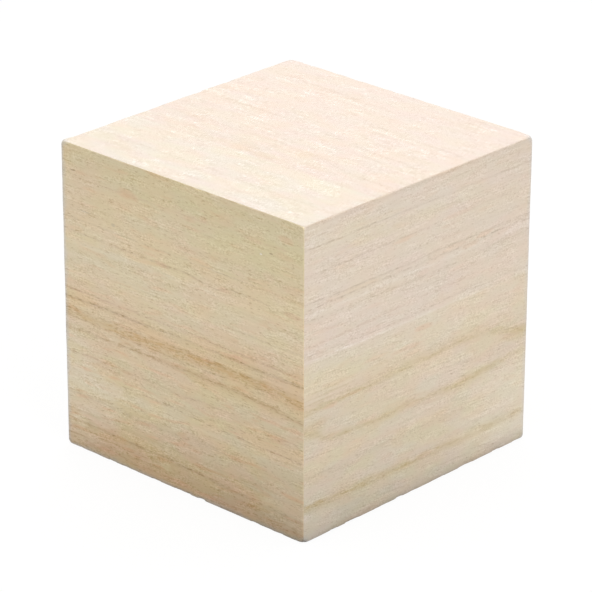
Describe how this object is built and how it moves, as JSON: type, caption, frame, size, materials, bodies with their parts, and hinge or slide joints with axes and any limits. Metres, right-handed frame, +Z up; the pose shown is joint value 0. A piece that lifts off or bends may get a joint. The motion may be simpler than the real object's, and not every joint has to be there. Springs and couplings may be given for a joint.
{
  "type": "wooden cube",
  "caption": "Solid wooden cube with square flat faces, eased arrises and dubbed corners, for use as a craft blank, spacer, weight or stand.",
  "frame": {"origin": "centre of the bottom face, where the cube stands", "axes": "+Z up through the centre of the top face; +X and +Y out through the middles of two neighbouring side faces"},
  "size_m": [0.1, 0.1, 0.1],
  "materials": {
    "wood": "sanded, unfinished pale wood"
  },
  "bodies": {
    "root": {"wooden_cube": "wood"}
  },
  "joints": []
}
